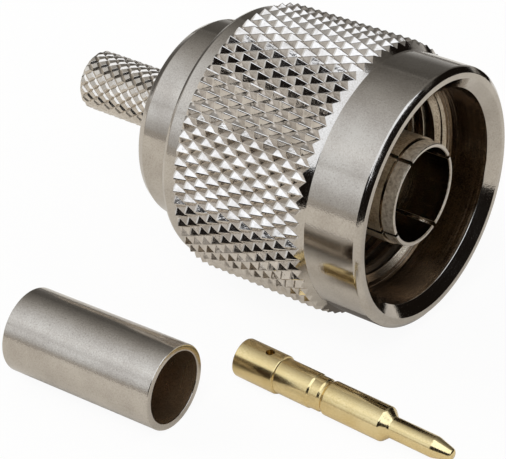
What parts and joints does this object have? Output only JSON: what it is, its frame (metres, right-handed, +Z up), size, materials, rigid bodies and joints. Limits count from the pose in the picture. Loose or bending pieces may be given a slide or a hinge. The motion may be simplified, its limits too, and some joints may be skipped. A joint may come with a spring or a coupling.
{
  "type": "coaxial cable plug",
  "caption": "Crimp coaxial plug with a knurled threaded coupling nut that turns on its body, slotted outer contact, and its centre contact and ferrule beside it.",
  "frame": {"origin": "on the plug's axis, in the plane of the outer contact's finger tips, where the mating socket seats", "axes": "+X along the plug's axis, out of its mouth; +Z up, with the plug lying on its knurled nut; +Y away from the two loose pieces"},
  "size_m": [0.0446, 0.0369, 0.0218],
  "materials": {
    "bright_nickel": "bright nickel plate over brass",
    "satin_nickel": "satin nickel plate over brass",
    "gold_plate": "gold plate over brass",
    "spring_bronze": "plain spring bronze",
    "silicone": "moulded silicone",
    "insulator_white": "turned fluoropolymer"
  },
  "bodies": {
    "plug": {"plug_body": "bright_nickel", "outer_contact": "bright_nickel", "insulator": "insulator_white", "retaining_ring": "spring_bronze", "sealing_gasket": "silicone", "centre_contact": "gold_plate", "crimp_ferrule": "satin_nickel"},
    "nut": {"coupling_nut": "bright_nickel"}
  },
  "joints": [
    {"name": "nut_turn", "type": "hinge", "parent": "plug", "child": "nut", "pos_m": [0, 0, 0], "axis": [1, 0, 0], "continuous": true}
  ]
}
